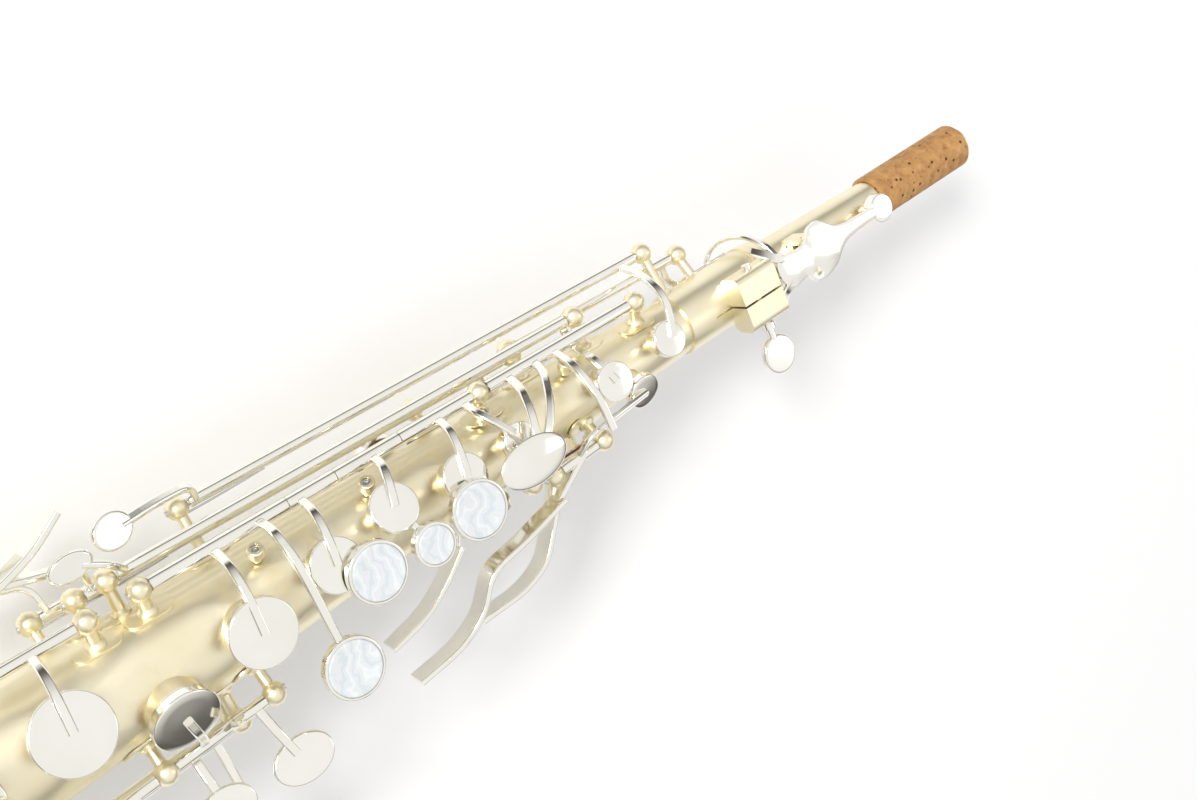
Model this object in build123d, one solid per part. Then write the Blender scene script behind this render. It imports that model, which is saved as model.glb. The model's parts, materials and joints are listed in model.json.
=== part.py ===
from build123d import *
from collections import namedtuple
import math
import os

os.makedirs("parts", exist_ok=True)

# Soprano saxophone with a straight neck, in millimetres.
# +X runs up the bore from the bell mouth to the mouthpiece end, +Z is the front, where the
# finger pearls are, and +Y is the player's right. The origin is the centre of the bell mouth.
# Places on the body are given as x, angle round the bore from +Z towards +Y, and height
# above the tube's outer surface.

# The tube
WALL = 0.75
BELL_TOP_X = 52.0
BODY_TOP_X = 519.0
BODY_LOW_R = 26.6
BODY_TOP_R = 9.3
BELL_MOUTH_R = 45.0
BELL_BEAD_R = 1.2
RECEIVER_X = (514.0, 550.0)
RECEIVER_R = 10.25
TENON_R = 9.2
NECK_X = (550.1, 655.0)
NECK_LOW_R = 8.4
NECK_TIP_R = 5.3
CORK_X = (607.5, 653.0)
CORK_R = 8.0
PIP_X = 600.0
PIP_RISE = 2.2

# The neck's clamp
EAR_X = (531.0, 547.0)
EAR_Y = (-11.0, 7.5)
EAR_Z = 17.0
SLIT = 0.7
SLIT_Y = -2.0
SLIT_LOW_X = 524.0
SCREW_X = 539.0
SCREW_Z = 13.4
SCREW_R = 1.5
COIN_R = 6.4
COIN_Y = -22.7

# Keywork
ROD_R = 0.95
ROD_CLEARANCE = 0.05
TUBE_R = 1.75
STACK_TUBE_R = 2.1
BALL_R = 3.3
STEM_R = 1.7
POST_FLAT = 2.8
CHIMNEY = 3.0
PAD_GAP = 0.1
PAD_THICK = 2.5
CUP_MARGIN = 2.2
CUP_RIM = 0.7
CUP_TOP = CHIMNEY + PAD_GAP + 3.4
ARM_HEIGHT = CUP_TOP + 0.6
STACK_LIFT = 7.0
PEARL_R = 8.8
SMALL_PEARL_R = 6.4
PEARL_TOP_Z = 27.8
HOLDER_THICK = 2.6
PLATE_THICK = 0.6
POST_PLATE = (14.0, 7.0)
ARM_WIDTH = 2.6
ARM_THICK = 1.8
TOUCH_THICK = 2.0
PALM_PLATE = 8.0
SIDE_PADDLE = 9.0
GUARD_HEIGHT = 14.4
GUARDED = ("low_c", "low_b", "low_bb")
NECK_PIVOT = (565.0, 0.0, 12.6)

# The player's fittings on the back
THUMB_REST_X = 389.0
HOOK_X = 234.0
STRAP_X = 300.0
STRAP_RING_R = 6.5
STRAP_BORE_R = 3.5
STRAP_RING_LONG = 3.0

BASE = (Align.CENTER, Align.CENTER, Align.MIN)

Rod = namedtuple("Rod", "angle height low high")
Hole = namedtuple("Hole", "x angle radius")

# Hinge rods lie along the cone, at a fixed angle and height
RODS = {
    "upper_stack": Rod(65, 8, 330, 499),
    "lower_stack": Rod(62, 9, 194, 315),
    "low_right": Rod(62, 9, 117, 190.5),
    "low_left": Rod(-62, 9, 150, 347),
    "low_left_b": Rod(-78, 10, 92, 337),
    "low_left_bb": Rod(-94, 11, 66, 337),
    "high_e": Rod(82, 10.5, 325, 480),
    "high_fsharp": Rod(104.5, 15.5, 352, 517),
    "side_c": Rod(95, 8, 317, 458),
    "side_bb": Rod(114, 8, 306, 425),
    "palm_f": Rod(-44, 8, 447, 467),
    "palm_eb": Rod(-95, 7, 447, 472),
    "palm_d": Rod(-125, 7, 418, 442),
    "octave_thumb": Rod(-148, 6, 402, 427),
    "body_octave": Rod(-135, 6, 452, 474),
    "octave_rocker": Rod(118, 10, 462, 531),
}
MID_POSTS = {"upper_stack": (438.5,), "lower_stack": (), "low_left": (313.5,)}

HOLES = {
    "high_fsharp": Hole(501, 11, 3.4),
    "high_e": Hole(477, 5, 4.0),
    "palm_f": Hole(486, -25, 3.4),
    "palm_eb": Hole(459, -71, 3.4),
    "palm_d": Hole(432, -98, 4.2),
    "body_octave": Hole(463, -165, 1.3),
    "side_c": Hole(449, 142, 4.4),
    "side_bb": Hole(411, 142, 5.0),
    "c_vent": Hole(439.5, 6, 3.4),
    "b": Hole(419, 7, 4.6),
    "bis": Hole(396.5, 18, 4.8),
    "a": Hole(374.5, 5, 5.4),
    "g": Hole(349, -6, 7.3),
    "gsharp": Hole(323, -28, 7.2),
    "fsharp": Hole(298, 9, 8.2),
    "f": Hole(268, 5, 8.8),
    "e": Hole(238, 5, 9.4),
    "d": Hole(207, 5, 10.0),
    "eb": Hole(186, 118, 9.0),
    "low_csharp": Hole(172, -22, 9.6),
    "low_c": Hole(140, 20, 11.0),
    "low_b": Hole(108, -32, 11.6),
    "low_bb": Hole(76, -6, 12.2),
}


# Places and simple shapes

def outer_radius(x):
    """Outer radius of the body's cone."""
    slope = (BODY_LOW_R - BODY_TOP_R) / (BODY_TOP_X - BELL_TOP_X)
    return BODY_TOP_R + (BODY_TOP_X - x) * slope


def neck_radius(x):
    """Outer radius of the neck's cone."""
    slope = (NECK_LOW_R - NECK_TIP_R) / (NECK_X[1] - NECK_X[0])
    return NECK_LOW_R - (x - NECK_X[0]) * slope


def polar(x, angle, height):
    radius = outer_radius(x) + height
    turn = math.radians(angle)
    return Vector(x, radius * math.sin(turn), radius * math.cos(turn))


def radial_plane(x, angle, height):
    """A plane at a place on the body, facing straight out from the bore."""
    turn = math.radians(angle)
    outward = (0, math.sin(turn), math.cos(turn))
    return Plane(origin=polar(x, angle, height), x_dir=(1, 0, 0), z_dir=outward)


def cone_x(low, high, low_r, high_r):
    """A cone about the X axis, or a cylinder where both radii are the same."""
    if low_r == high_r:
        shape = Cylinder(low_r, high - low, align=BASE)
    else:
        shape = Cone(low_r, high_r, high - low, align=BASE)
    return Pos(low, 0, 0) * Rot(0, 90, 0) * shape


def between(start, end, radius):
    """A round bar from one point to another."""
    start = Vector(start)
    span = Vector(end) - start
    return Plane(origin=start, z_dir=span) * Cylinder(radius, span.length, align=BASE)


def disc(plane, radius, thick, edge=0.0):
    """A disc standing on a plane, with its far edge rounded."""
    shape = Cylinder(radius, thick, align=BASE)
    if edge:
        top = shape.edges().group_by(Axis.Z)[-1]
        shape = fillet(top, edge)
    return plane * shape


def bend_radii(points):
    """The largest tangent arcs that each corner's two runs leave room for."""
    radii = []
    for before, corner, after in zip(points, points[1:], points[2:]):
        arriving = corner - before
        leaving = after - corner
        turn = math.radians(arriving.get_angle(leaving))
        shorter = min(arriving.length, leaving.length)
        radii.append(0.45 * shorter / math.tan(turn / 2))
    return radii


def bar(points, width, thick, across=(1, 0, 0)):
    """A flat bent strap with rounded edges; its width lies along across."""
    points = [Vector(point) for point in points]
    if len(points) == 2:
        path = Line(*points)
    else:
        path = FilletPolyline(*points, radius=bend_radii(points))
    start = Plane(origin=path @ 0, x_dir=across, z_dir=path % 0)
    section = start * RectangleRounded(width, thick, 0.35 * thick)
    return sweep(section, path)


def oval(center, normal, length, width, thick, along=(1, 0, 0)):
    """An oval finger plate with rounded edges."""
    plane = Plane(origin=center, x_dir=along, z_dir=normal)
    shape = extrude(Ellipse(length / 2, width / 2), thick)
    shape = fillet(shape.edges(), 0.4 * thick)
    return plane * shape


# The tube's own parts

def build_body_tube():
    outer = cone_x(BELL_TOP_X, BODY_TOP_X, BODY_LOW_R, BODY_TOP_R)
    for hole in HOLES.values():
        center = radial_plane(hole.x, hole.angle, -outer_radius(hole.x))
        outer += disc(center, hole.radius + 0.9, outer_radius(hole.x) + CHIMNEY)
    bore = cone_x(BELL_TOP_X, BODY_TOP_X, BODY_LOW_R - WALL, BODY_TOP_R - WALL)
    body = outer - bore
    for hole in HOLES.values():
        center = radial_plane(hole.x, hole.angle, -outer_radius(hole.x))
        body -= disc(center, hole.radius, outer_radius(hole.x) + 2 * CHIMNEY)
    return body


def bell_outline(offset):
    """The flare from the body to the mouth."""
    points = []
    for step in range(7):
        share = step / 6
        flare = (BELL_MOUTH_R - BODY_LOW_R) * share ** 2.4
        points.append((BELL_TOP_X * (1 - share), BODY_LOW_R + flare + offset))
    return points


def build_bell():
    outer = bell_outline(0)
    inner = bell_outline(-WALL)
    profile = make_face([
        Spline(*outer),
        Line(outer[-1], inner[-1]),
        Spline(*inner[::-1]),
        Line(inner[0], outer[0]),
    ])
    return revolve(profile, Axis.X) - build_bell_rim()


def build_bell_rim():
    return Pos(BELL_BEAD_R, 0, 0) * Rot(0, 90, 0) * Torus(BELL_MOUTH_R, BELL_BEAD_R)


def build_bell_ring():
    """The band over the joint between the body and the bell."""
    half = 3.2
    low, high = BELL_TOP_X - half, BELL_TOP_X + half
    band = cone_x(low, high, BODY_LOW_R + 1.3, BODY_LOW_R + 1.2)
    band = fillet(band.edges(), 0.6)
    band -= cone_x(BELL_TOP_X, high + 1, BODY_LOW_R, outer_radius(high + 1))
    flare = bell_outline(0)
    axis_ends = (flare[-1][0], 0), (flare[0][0], 0)
    plug = make_face([Spline(*flare), Polyline(flare[-1], *axis_ends, flare[0])])
    return band - revolve(plug, Axis.X)


def build_neck_receiver():
    """The socket for the neck, with a slit and two clamp ears at its front."""
    low, high = RECEIVER_X
    socket = cone_x(low, high, RECEIVER_R, RECEIVER_R)
    ear_mid_x = sum(EAR_X) / 2
    ear_mid_y = sum(EAR_Y) / 2
    ears = Pos(ear_mid_x, ear_mid_y, EAR_Z / 2 + 4)
    ears = ears * Box(EAR_X[1] - EAR_X[0], EAR_Y[1] - EAR_Y[0], EAR_Z - 8)
    ears = fillet(ears.edges().filter_by(Axis.X), 2.4)
    socket += ears
    rim = cone_x(high - 3, high, RECEIVER_R + 0.5, RECEIVER_R + 0.5)
    socket += fillet(rim.edges(), 0.45)
    socket -= cone_x(BODY_TOP_X, high + 1, TENON_R + 0.05, TENON_R + 0.05)
    socket -= cone_x(low - 1, BODY_TOP_X, outer_radius(low - 1), BODY_TOP_R)
    slit_long = high + 1 - SLIT_LOW_X
    socket -= Pos(SLIT_LOW_X + slit_long / 2, SLIT_Y, 15) * Box(slit_long, SLIT, 20)
    socket -= between((SCREW_X, -20, SCREW_Z), (SCREW_X, 20, SCREW_Z), SCREW_R + 0.05)
    return socket


def build_neck_screw():
    """The thumb screw that pulls the clamp ears together."""
    shank = between((SCREW_X, 9.0, SCREW_Z), (SCREW_X, -17.5, SCREW_Z), SCREW_R)
    collar = between((SCREW_X, -11.3, SCREW_Z), (SCREW_X, -13.3, SCREW_Z), 2.4)
    coin = Pos(SCREW_X, COIN_Y, SCREW_Z) * Cylinder(COIN_R, 2.4)
    coin = fillet(coin.edges(), 0.9)
    return shank + collar + coin


def build_neck_tube():
    low, high = NECK_X
    tenon = cone_x(BODY_TOP_X + 0.5, low, TENON_R, TENON_R)
    tube = cone_x(low, high, NECK_LOW_R, NECK_TIP_R)
    tube += tenon
    bore = cone_x(BODY_TOP_X, low, BODY_TOP_R - WALL, NECK_LOW_R - WALL)
    bore += cone_x(low, high, NECK_LOW_R - WALL, NECK_TIP_R - WALL)
    tube -= bore
    pip = Pos(PIP_X, 0, 0) * Cylinder(2.6, neck_radius(PIP_X) + PIP_RISE, align=BASE)
    vent = Pos(PIP_X, 0, 0) * Cylinder(1.0, 20, align=BASE)
    return tube + (pip - bore) - vent


def build_neck_collar():
    low = NECK_X[0]
    collar = cone_x(low, low + 5, RECEIVER_R + 0.4, RECEIVER_R - 0.4)
    collar = fillet(collar.edges(), 0.7)
    return collar - cone_x(low, low + 5, neck_radius(low), neck_radius(low + 5))


def build_neck_cork():
    low, high = CORK_X
    cork = cone_x(low, high, CORK_R, CORK_R)
    return cork - cone_x(low, high, neck_radius(low), neck_radius(high))


def build_neck_tip_ring():
    low, high = CORK_X[1], NECK_X[1]
    ring = cone_x(low, high, NECK_TIP_R + 1.0, NECK_TIP_R + 0.9)
    ring = fillet(ring.edges().group_by(Axis.X)[-1], 0.5)
    return ring - cone_x(low, high, neck_radius(low), neck_radius(high))


# Rods, posts and plates

def rod_point(rod, x):
    return polar(x, rod.angle, rod.height)


def rod_axis(rod):
    start = rod_point(rod, rod.low)
    return Axis(start, rod_point(rod, rod.high) - start)


def rod_bar(rod, low, high, radius):
    return between(rod_point(rod, low), rod_point(rod, high), radius)


def build_rods(names):
    """The steel hinge rods, with a slotted head at the upper end of each."""
    rods = []
    for name in names:
        rod = RODS[name]
        shaft = rod_bar(rod, rod.low - 3.4, rod.high + 3.4, ROD_R)
        tip = rod_point(rod, rod.high + 3.4)
        shaft -= Pos(*tip) * Box(1.0, 0.4, 4)
        rods.append(shaft)
    return rods


def post_places(names):
    places = []
    for name in names:
        rod = RODS[name]
        xs = (rod.low, rod.high) + MID_POSTS.get(name, ())
        places += [(x, rod.angle, rod.height) for x in xs]
    return places


def turned_post(height):
    """A post turned about Z: a stepped foot, a stem and a ball centred at this height."""
    neck = height - math.sqrt(BALL_R ** 2 - STEM_R ** 2)
    outline = [(0, 0), (2.8, 0), (2.8, 2.0), (STEM_R, 2.9), (STEM_R, neck)]
    edges = [Line(start, end) for start, end in zip(outline, outline[1:])]
    edges.append(ThreePointArc(outline[-1], (BALL_R, height), (0, height + BALL_R)))
    edges.append(Line((0, height + BALL_R), (0, 0)))
    return revolve(Plane.XZ * make_face(edges), Axis.Z)


def plated_body():
    """The body's cone out to the top of the post plates."""
    low_r, high_r = BODY_LOW_R + PLATE_THICK, BODY_TOP_R + PLATE_THICK
    return cone_x(BELL_TOP_X, BODY_TOP_X, low_r, high_r)


def build_posts(names):
    """Turned posts with a ball head, faced flat for the keys and bored for the rod."""
    ground = plated_body()
    socket = cone_x(*RECEIVER_X, RECEIVER_R, RECEIVER_R)
    posts = []
    for x, angle, height in post_places(names):
        stem = radial_plane(x, angle, -1) * turned_post(height + 1)
        stem -= socket if x > RECEIVER_X[0] else ground
        own_rod = Rod(angle, height, x - 6, x + 6)
        stem &= rod_bar(own_rod, x - POST_FLAT, x + POST_FLAT, 40)
        stem -= rod_bar(own_rod, x - 6, x + 6, ROD_R)
        posts.append(stem)
    return posts


def body_plate(x_low, x_high, angle, width):
    """A thin plate that follows the body, with round ends."""
    shell = cone_x(x_low - 20, x_high + 20, outer_radius(x_low - 20) + PLATE_THICK,
                   outer_radius(x_high + 20) + PLATE_THICK)
    shell -= cone_x(x_low - 20, x_high + 20, outer_radius(x_low - 20), outer_radius(x_high + 20))
    middle = (x_low + x_high) / 2
    outline = SlotOverall(x_high - x_low, width)
    cutter = radial_plane(middle, angle, -outer_radius(middle) / 2) * extrude(outline, 40)
    return shell & cutter


def clear_of_chimneys(solid, x):
    for hole in HOLES.values():
        if abs(hole.x - x) < 30:
            core = radial_plane(hole.x, hole.angle, -outer_radius(hole.x))
            solid -= disc(core, hole.radius + 1.0, outer_radius(hole.x) + CHIMNEY)
    return solid


def build_plates():
    """Plates soldered to the body under the posts."""
    plates = []
    for name, rod in RODS.items():
        for x in (rod.low, rod.high) + MID_POSTS.get(name, ()):
            if x > RECEIVER_X[0] - 8:
                continue
            long, wide = POST_PLATE
            plate = body_plate(x - long / 2, x + long / 2, rod.angle, wide)
            plates.append(clear_of_chimneys(plate, x))
    return plates


# Keys

def closing_sign(rod, angle):
    """+1 where turning by the right-hand rule about +X brings a pad at this angle down."""
    return 1 if rod.angle > angle else -1


def cup_parts(hole):
    """A pad cup over a closed tone hole, and its leather pad."""
    radius = hole.radius + CUP_MARGIN
    seat = radial_plane(hole.x, hole.angle, CHIMNEY + PAD_GAP)
    pad = disc(seat, radius - CUP_RIM, PAD_THICK)
    rim = radial_plane(hole.x, hole.angle, CHIMNEY + PAD_GAP + 0.9)
    cup = disc(rim, radius, 2.5, 0.7) - pad
    return cup, pad


def cup_arm(rod, x, hole):
    """A strap from a key's tube, up and over, to the middle of its cup."""
    heights = (rod.height, ARM_HEIGHT + 1.4, ARM_HEIGHT + 1.0, ARM_HEIGHT)
    stations = []
    for step, height in enumerate(heights):
        share = step / 3
        angle = rod.angle + (hole.angle - rod.angle) * share
        place_x = x + (hole.x - x) * max(0, step - 1) / 2
        stations.append(polar(place_x, angle, height))
    return bar(stations, ARM_WIDTH, ARM_THICK)


def holder_parts(x, y, radius, top=PEARL_TOP_Z):
    """A round finger rest and the pearl set in it."""
    low = Plane(origin=(x, y, top - HOLDER_THICK))
    dish = disc(low, radius, HOLDER_THICK, 0.5)
    seat = Plane(origin=(x, y, top - 1.5))
    dish -= disc(seat, radius - 0.9, 3)
    pearl = disc(seat, radius - 0.95, 1.9, 0.7)
    return dish, pearl


def hinged(rod, low, high, solids, bend=0):
    """Fuse a key's metal to its tube, bore the tube for the rod and swing it open."""
    tube_r = STACK_TUBE_R if rod is RODS["upper_stack"] else TUBE_R
    metal = rod_bar(rod, low, high, tube_r)
    for solid in solids:
        metal += solid
    metal -= rod_bar(rod, rod.low - 6, rod.high + 6, ROD_R + ROD_CLEARANCE)
    return metal.rotate(rod_axis(rod), bend)


def pad_key(rod_name, low, high, arms, extra=(), lift=0):
    """A key with one cup for each arm: arms lists a tube place and a tone hole's name."""
    rod = RODS[rod_name]
    metal, pads = [], []
    sign = closing_sign(rod, HOLES[arms[0][1]].angle)
    for x, hole_name in arms:
        hole = HOLES[hole_name]
        cup, pad = cup_parts(hole)
        metal += [cup, cup_arm(rod, x, hole)]
        pads.append(pad)
    key = hinged(rod, low, high, metal + list(extra), -sign * lift)
    pads = [pad.rotate(rod_axis(rod), -sign * lift) for pad in pads]
    return key, pads


def pearl_key(rod_name, low, high, arms, pearl, stem_from, radius=PEARL_R):
    """A stack key: it rests open, and a pearl on a stem closes it."""
    key, pads = pad_key(rod_name, low, high, arms, lift=STACK_LIFT)
    x, y, top = pearl
    dish, pearl_disc = holder_parts(x, y, radius, top)
    under = Vector(x, y, top - HOLDER_THICK + 0.4)
    stem = [Vector(point) for point in stem_from] + [under]
    key += dish + bar(stem, 2.6, 2.0)
    key -= pearl_disc
    rod = RODS[rod_name]
    key -= rod_bar(rod, rod.low - 6, rod.high + 6, ROD_R + ROD_CLEARANCE)
    return [key] + pads, pearl_disc


def open_point(rod_name, x, angle, height):
    """Where a point of a closed stack key is when the key stands open."""
    rod = RODS[rod_name]
    point = Vertex(*polar(x, angle, height))
    turned = point.rotate(rod_axis(rod), -STACK_LIFT)
    return Vector(turned.X, turned.Y, turned.Z)


def build_upper_stack():
    """B, bis, A and G, each with its pearl."""
    top = ARM_HEIGHT + 0.3
    b = pearl_key("upper_stack", 410.7, 435.6, [(423, "b"), (432.5, "c_vent")],
                  (416, -4.4, PEARL_TOP_Z), [open_point("upper_stack", 418.6, 7, top)])
    bis = pearl_key("upper_stack", 389.3, 410.4, [(401, "bis")], (400, -5.6, PEARL_TOP_Z),
                    [open_point("upper_stack", 397.5, 14, top)], SMALL_PEARL_R)
    a = pearl_key("upper_stack", 374.0, 389.0, [(377.5, "a")], (382.3, -3.1, PEARL_TOP_Z),
                  [open_point("upper_stack", 376, 5, top)])
    rod = RODS["upper_stack"]
    long_arm = [rod_point(rod, 364.8), polar(364.8, 47, 12.6), polar(364.8, 22, 13.0),
                Vector(364.8, -9, 26.2), Vector(364.9, -15, 25.9)]
    g = pearl_key("upper_stack", 333.0, 373.7, [(351, "g")], (365, -22, PEARL_TOP_Z), long_arm)
    return {"b": b, "bis": bis, "a": a, "g": g}


def build_lower_stack():
    """F, E and D, each with its pearl over its own cup."""
    keys = {}
    spans = {"f": (254.6, 283.4), "e": (225.0, 254.3), "d": (197.0, 224.7)}
    for name, (low, high) in spans.items():
        hole = HOLES[name]
        x = hole.x + 4
        top = outer_radius(x) + 14.0
        start = open_point("lower_stack", hole.x + 2, hole.angle, ARM_HEIGHT + 0.3)
        keys[name] = pearl_key("lower_stack", low, high, [(hole.x + 6, name)], (x, -3, top), [start])
    return keys


def touch_arm(rod_name, x, points, width=2.8, thick=2.0, across=(1, 0, 0)):
    """A strap from a key's tube to a finger plate."""
    return bar([rod_point(RODS[rod_name], x)] + list(points), width, thick, across)


def build_front_f():
    """The oval front F touch, with two arms to it and a third across to the palm F key."""
    rod = RODS["upper_stack"]
    plate = oval((437, -1.2, 26.2), (0, 0, 1), 22, 13.5, ARM_THICK)
    routes = [
        [rod_point(rod, 449), polar(448, 44, 10.5), polar(444, 20, 13.2), (440, 0, 26.6)],
        [rod_point(rod, 459), polar(457, 44, 10.5), polar(450, 18, 14), (441, -2, 26.6)],
        [rod_point(rod, 466), polar(466, 35, 11), polar(466, 5, 13), polar(466, -18, 14.2)],
    ]
    arms = [bar(route, ARM_WIDTH, ARM_THICK) for route in routes]
    return hinged(rod, 441.6, 496.0, [plate] + arms)


def build_high_e():
    rod = RODS["high_e"]
    cup, pad = cup_parts(HOLES["high_e"])
    route = [rod_point(rod, 475.3), polar(475.3, 77, 3.2), polar(475.3, 34, 6.2)]
    arm = bar(route + [polar(477, 5, ARM_HEIGHT)], ARM_WIDTH, 1.5)
    touch = oval((318.5, 36.5, 9), (0, -0.3, 1), 12, 8, TOUCH_THICK)
    lever = touch_arm("high_e", 331, [(327.5, 31, 7.5), (321, 35.5, 9.6)], across=(0, 0, 1))
    return [hinged(rod, 328.6, 476.8, [cup, arm, touch, lever]), pad]


def build_high_fsharp():
    rod = RODS["high_fsharp"]
    cup, pad = cup_parts(HOLES["high_fsharp"])
    route = [rod_point(rod, 507.5), polar(507.5, 76, 12), polar(506.5, 45, 10)]
    arm = bar(route + [polar(502, 11, ARM_HEIGHT)], ARM_WIDTH, ARM_THICK)
    touch = oval((332, 37.5, 4.5), (0.3, 0, 1), 12, 10, TOUCH_THICK)
    lever = touch_arm("high_fsharp", 357.5, [(356.5, 35.5, -2.5), (346, 37, 1), (335, 37.5, 4.6)],
                      across=(0, 0, 1))
    return [hinged(rod, 355.5, 513.5, [cup, arm, touch, lever]), pad]


def build_side_key(name, low, high, arm_x, lever, paddle):
    """Side C or side B flat: a long tube, a pad at the top and a curved paddle at the bottom."""
    touch = bar(paddle, SIDE_PADDLE, TOUCH_THICK, (0, 0, 1))
    root = bar([rod_point(RODS[name], low + 2.4)] + lever, 3.4, TOUCH_THICK, (0, 0, 1))
    key, pads = pad_key(name, low, high, [(arm_x, name)], [touch, root])
    return [key] + pads


def along_arm(name, x, points, width=2.8, thick=1.8):
    """A strap that runs along the body: its width lies round the body."""
    rod = RODS[name]
    turn = math.radians(rod.angle)
    across = (0, math.cos(turn), -math.sin(turn))
    return bar([rod_point(rod, x)] + list(points), width, thick, across)


def palm_plate(rod_name, x, points):
    """A deep curved plate for the palm, on a short neck from the key's tube."""
    plate = bar(points, PALM_PLATE, 1.8, (0, 0, 1))
    root = [rod_point(RODS[rod_name], x), Vector(*points[0]) + Vector(-1, 0, 0)]
    return [plate, bar(root, 4, 2.0, (0, 0, 1))]


def build_palm_f():
    """The highest palm key: its arm runs up the body, round its own post, to the pad."""
    rod = RODS["palm_f"]
    hole = HOLES["palm_f"]
    cup, pad = cup_parts(hole)
    route = [polar(461, -24, 8.8), polar(474, -21, 8.8), polar(hole.x, hole.angle, ARM_HEIGHT)]
    arm = along_arm("palm_f", 457, route, 2.4)
    plate = [(446, -21, 14), (430, -25, 13.5), (416, -27, 13), (409, -37, 12), (399, -42, 11),
             (384, -44, 10)]
    return [hinged(rod, 450.0, 464.0, [cup, arm] + palm_plate("palm_f", 458, plate)), pad]


def build_palm_keys():
    """The three palm keys: high F, E flat and D."""
    eb_plate = [(449, -27, 1), (438, -40, 2), (428, -43.5, 2), (412, -44, 1)]
    d_plate = [(420, -25, -9), (410, -33, -10), (401, -38, -11), (388, -41, -12)]
    eb, eb_pads = pad_key("palm_eb", 450.0, 469.0, [(459, "palm_eb")],
                          palm_plate("palm_eb", 455, eb_plate))
    d, d_pads = pad_key("palm_d", 421.0, 439.0, [(432, "palm_d")],
                        palm_plate("palm_d", 425, d_plate))
    return {
        "palm_f_key": build_palm_f(),
        "palm_eb_key": [eb] + eb_pads,
        "palm_d_key": [d] + d_pads,
    }


def build_low_left_keys():
    """G sharp, C sharp, B and B flat, with the left little finger's table."""
    outward = (0, 0.25, 1)
    gsharp_plate = oval((345, -41, 14), outward, 18, 13, TOUCH_THICK)
    gsharp_arm = touch_arm("low_left", 341, [(342, -30, 15.5), (344, -38, 15)])
    route = [rod_point(RODS["low_left"], 336.5), polar(334, -50, 11.0), polar(330.6, -42, 11.0)]
    gsharp_lever = bar(route, ARM_WIDTH, ARM_THICK)
    gsharp_solids = [gsharp_plate, gsharp_arm, gsharp_lever]
    gsharp_touch = hinged(RODS["low_left"], 334.4, 344.0, gsharp_solids)
    gsharp, gsharp_pads = pad_key("low_left", 316.5, 334.0, [(325, "gsharp")])

    csharp_plate = oval((303, -41, 16), outward, 15, 13, TOUCH_THICK)
    csharp_arm = touch_arm("low_left", 304, [(304, -31, 18), (303.5, -38, 17)])
    csharp, csharp_pads = pad_key("low_left", 153.0, 310.5, [(172, "low_csharp")],
                                  [csharp_plate, csharp_arm])

    b_plate = oval((322, -41, 13), outward, 17, 13, TOUCH_THICK)
    b_arm = touch_arm("low_left_b", 322, [(322, -33, 11), (322, -38, 13.5)])
    low_b, b_pads = pad_key("low_left_b", 95.0, 334.0, [(110, "low_b")],
                            [b_plate, b_arm], STACK_LIFT)

    bb_plate = oval((320, -54, 9), outward, 34, 9, TOUCH_THICK)
    bb_arm = touch_arm("low_left_bb", 330, [(330, -37, 0), (329, -46, 6), (328, -52, 9.6)])
    low_bb, bb_pads = pad_key("low_left_bb", 69.0, 334.0, [(78, "low_bb")],
                              [bb_plate, bb_arm], STACK_LIFT)
    return {
        "gsharp_touch": [gsharp_touch],
        "gsharp_key": [gsharp] + gsharp_pads,
        "low_csharp_key": [csharp] + csharp_pads,
        "low_b_key": [low_b] + b_pads,
        "low_bb_key": [low_bb] + bb_pads,
    }


def build_low_right_keys():
    """E flat and low C, with the right little finger's two touches."""
    outward = (0, 0.1, 1)
    eb_touch = oval((183, 8, 36), outward, 11, 17, TOUCH_THICK)
    eb_arm = touch_arm("low_right", 184, [polar(184, 48, 15), (183.5, 14, 37)])
    eb, eb_pads = pad_key("low_right", 176.0, 187.5, [(181.5, "eb")], [eb_touch, eb_arm])
    c_touch = oval((169.5, 8, 37), outward, 11, 17, TOUCH_THICK)
    c_arm = touch_arm("low_right", 169.5, [polar(169.5, 48, 15), (169.5, 14, 38)])
    low_c, c_pads = pad_key("low_right", 120.0, 175.7, [(142, "low_c")],
                            [c_touch, c_arm], STACK_LIFT)
    return {"low_eb_key": [eb] + eb_pads, "low_c_key": [low_c] + c_pads}


def build_octave_keys():
    """The thumb lever, the body vent's key and the rocker that reaches up to the neck."""
    thumb = RODS["octave_thumb"]
    plate = oval(polar(414, -172, 6.5), (0, 0, -1), 16, 12, 2)
    arm = bar([rod_point(thumb, 414), polar(414, -160, 7.4), polar(414, -171, 7.2)], 3, 1.8)
    thumb_key = hinged(thumb, 405.0, 424.0, [plate, arm])
    vent_key, vent_pads = pad_key("body_octave", 455.0, 471.0, [(463, "body_octave")])
    rocker = RODS["octave_rocker"]
    pin_y, pin_z = 8.03, -8.92
    finger = bar([rod_point(rocker, 524.0), polar(524.0, 130, 5.0), (526.5, pin_y, pin_z)], 2.4, 1.8)
    pin = between((525.5, pin_y, pin_z), (549, pin_y, pin_z), 0.8)
    rocker_key = hinged(rocker, 465.0, 527.5, [finger, pin])
    return {
        "octave_thumb_key": [thumb_key],
        "body_octave_key": [vent_key] + vent_pads,
        "octave_rocker": [rocker_key],
    }


def build_neck_saddle():
    """Two small cheeks on the neck that hold the octave key's pivot pin."""
    x, _, z = NECK_PIVOT
    cheeks = []
    for side in (-1, 1):
        cheek = Pos(x, side * 5.4, z / 2 + 1.5) * Box(6, 1.6, z - 0.5)
        cheek += between((x, side * 4.6, z), (x, side * 6.2, z), 2.6)
        cheeks.append(cheek)
    web = Pos(x, 0, neck_radius(x) + 0.6) * Box(6, 11, 2.4)
    saddle = cheeks[0] + cheeks[1] + web
    saddle -= cone_x(NECK_X[0], NECK_X[1], NECK_LOW_R, NECK_TIP_R)
    return saddle + between((x, -6.6, z), (x, 6.6, z), ROD_R)


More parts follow.
